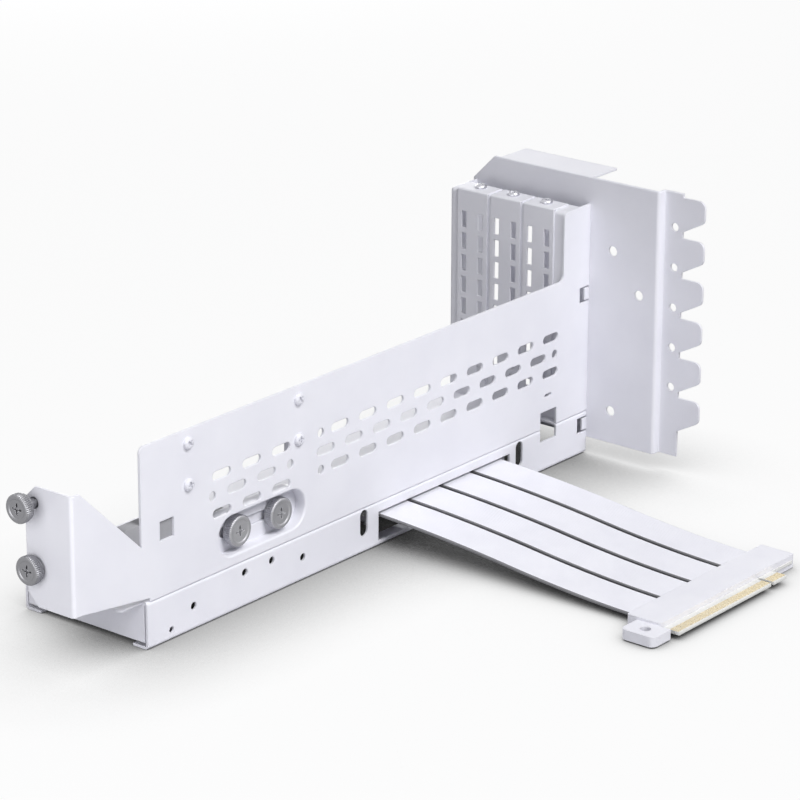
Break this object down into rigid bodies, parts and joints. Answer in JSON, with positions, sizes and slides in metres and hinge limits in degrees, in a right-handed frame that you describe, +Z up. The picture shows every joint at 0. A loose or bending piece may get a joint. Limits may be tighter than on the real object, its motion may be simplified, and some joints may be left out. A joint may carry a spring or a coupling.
{
  "type": "vertical graphics card bracket",
  "caption": "White folded-steel bracket that stands a graphics card upright, with a slotted back plate, rear slot cage, thumbscrews and a flat riser ribbon ending in an edge plug.",
  "frame": {"origin": "bottom centre of the bracket without its ribbon and plug", "axes": "+X toward the rear plate, +Y toward the side where the card stands, +Z up"},
  "size_m": [0.3968, 0.2461, 0.1424],
  "materials": {
    "white_coat": "fine textured powder coat",
    "plated_screw": "zinc plated",
    "white_screw": "painted over",
    "dark_steel": "grey plated, knurled",
    "white_plastic": "matte",
    "black_plastic": "matte",
    "soft_rubber": "matte",
    "pale_rubber": "matte",
    "white_board": "satin lacquer",
    "gold_contact": "gold plated",
    "ribbon_jacket": "fine ribbed jacket"
  },
  "bodies": {
    "bracket": {"base_tray": "white_coat", "main_plate": "white_coat", "slot_frame": "white_coat", "rear_plate": "white_coat", "slot_cover_1": "white_coat", "slot_cover_2": "white_coat", "slot_cover_3": "white_coat", "foot_screws": "plated_screw", "slot_cover_screws": "plated_screw", "rear_screws": "plated_screw", "bumper_screws": "white_screw", "board_screws": "plated_screw", "clamp_screws": "plated_screw", "board_standoffs": "plated_screw", "front_bumper": "soft_rubber", "back_bumpers": "pale_rubber", "riser_board": "white_board", "riser_slot": "black_plastic", "slot_contacts": "gold_contact", "ribbon_clamp": "white_plastic", "ribbon_1": "ribbon_jacket", "ribbon_2": "ribbon_jacket", "ribbon_3": "ribbon_jacket", "ribbon_4": "ribbon_jacket", "plug_board": "white_board", "plug_contacts": "gold_contact", "plug_cover_bottom": "white_plastic", "plug_cover_top": "white_plastic", "plug_tab": "white_plastic"},
    "upper_screw": {"thumbscrew_upper": "dark_steel", "retainer_upper": "white_plastic"},
    "lower_screw": {"thumbscrew_lower": "dark_steel", "retainer_lower": "white_plastic"},
    "card_rest": {"rest_arm": "white_coat", "rest_pad": "soft_rubber", "rest_screw_1": "dark_steel", "rest_screw_2": "dark_steel", "rest_nuts": "plated_screw"},
    "latch": {"slot_latch": "black_plastic"}
  },
  "joints": [
    {"name": "upper_screw_turn", "type": "hinge", "parent": "bracket", "child": "upper_screw", "pos_m": [-0.1908, 0.0166, 0.077], "axis": [1, 0, 0], "continuous": true},
    {"name": "lower_screw_turn", "type": "hinge", "parent": "bracket", "child": "lower_screw", "pos_m": [-0.1908, 0.0166, 0.0475], "axis": [1, 0, 0], "continuous": true},
    {"name": "card_rest_slide", "type": "slide", "parent": "bracket", "child": "card_rest", "axis": [1, 0, 0], "range_m": [-0.006, 0.006]},
    {"name": "latch_swing", "type": "hinge", "parent": "bracket", "child": "latch", "pos_m": [0.0132, 0.0063, 0.0206], "axis": [0, -1, 0], "range_deg": [0, 30]}
  ]
}
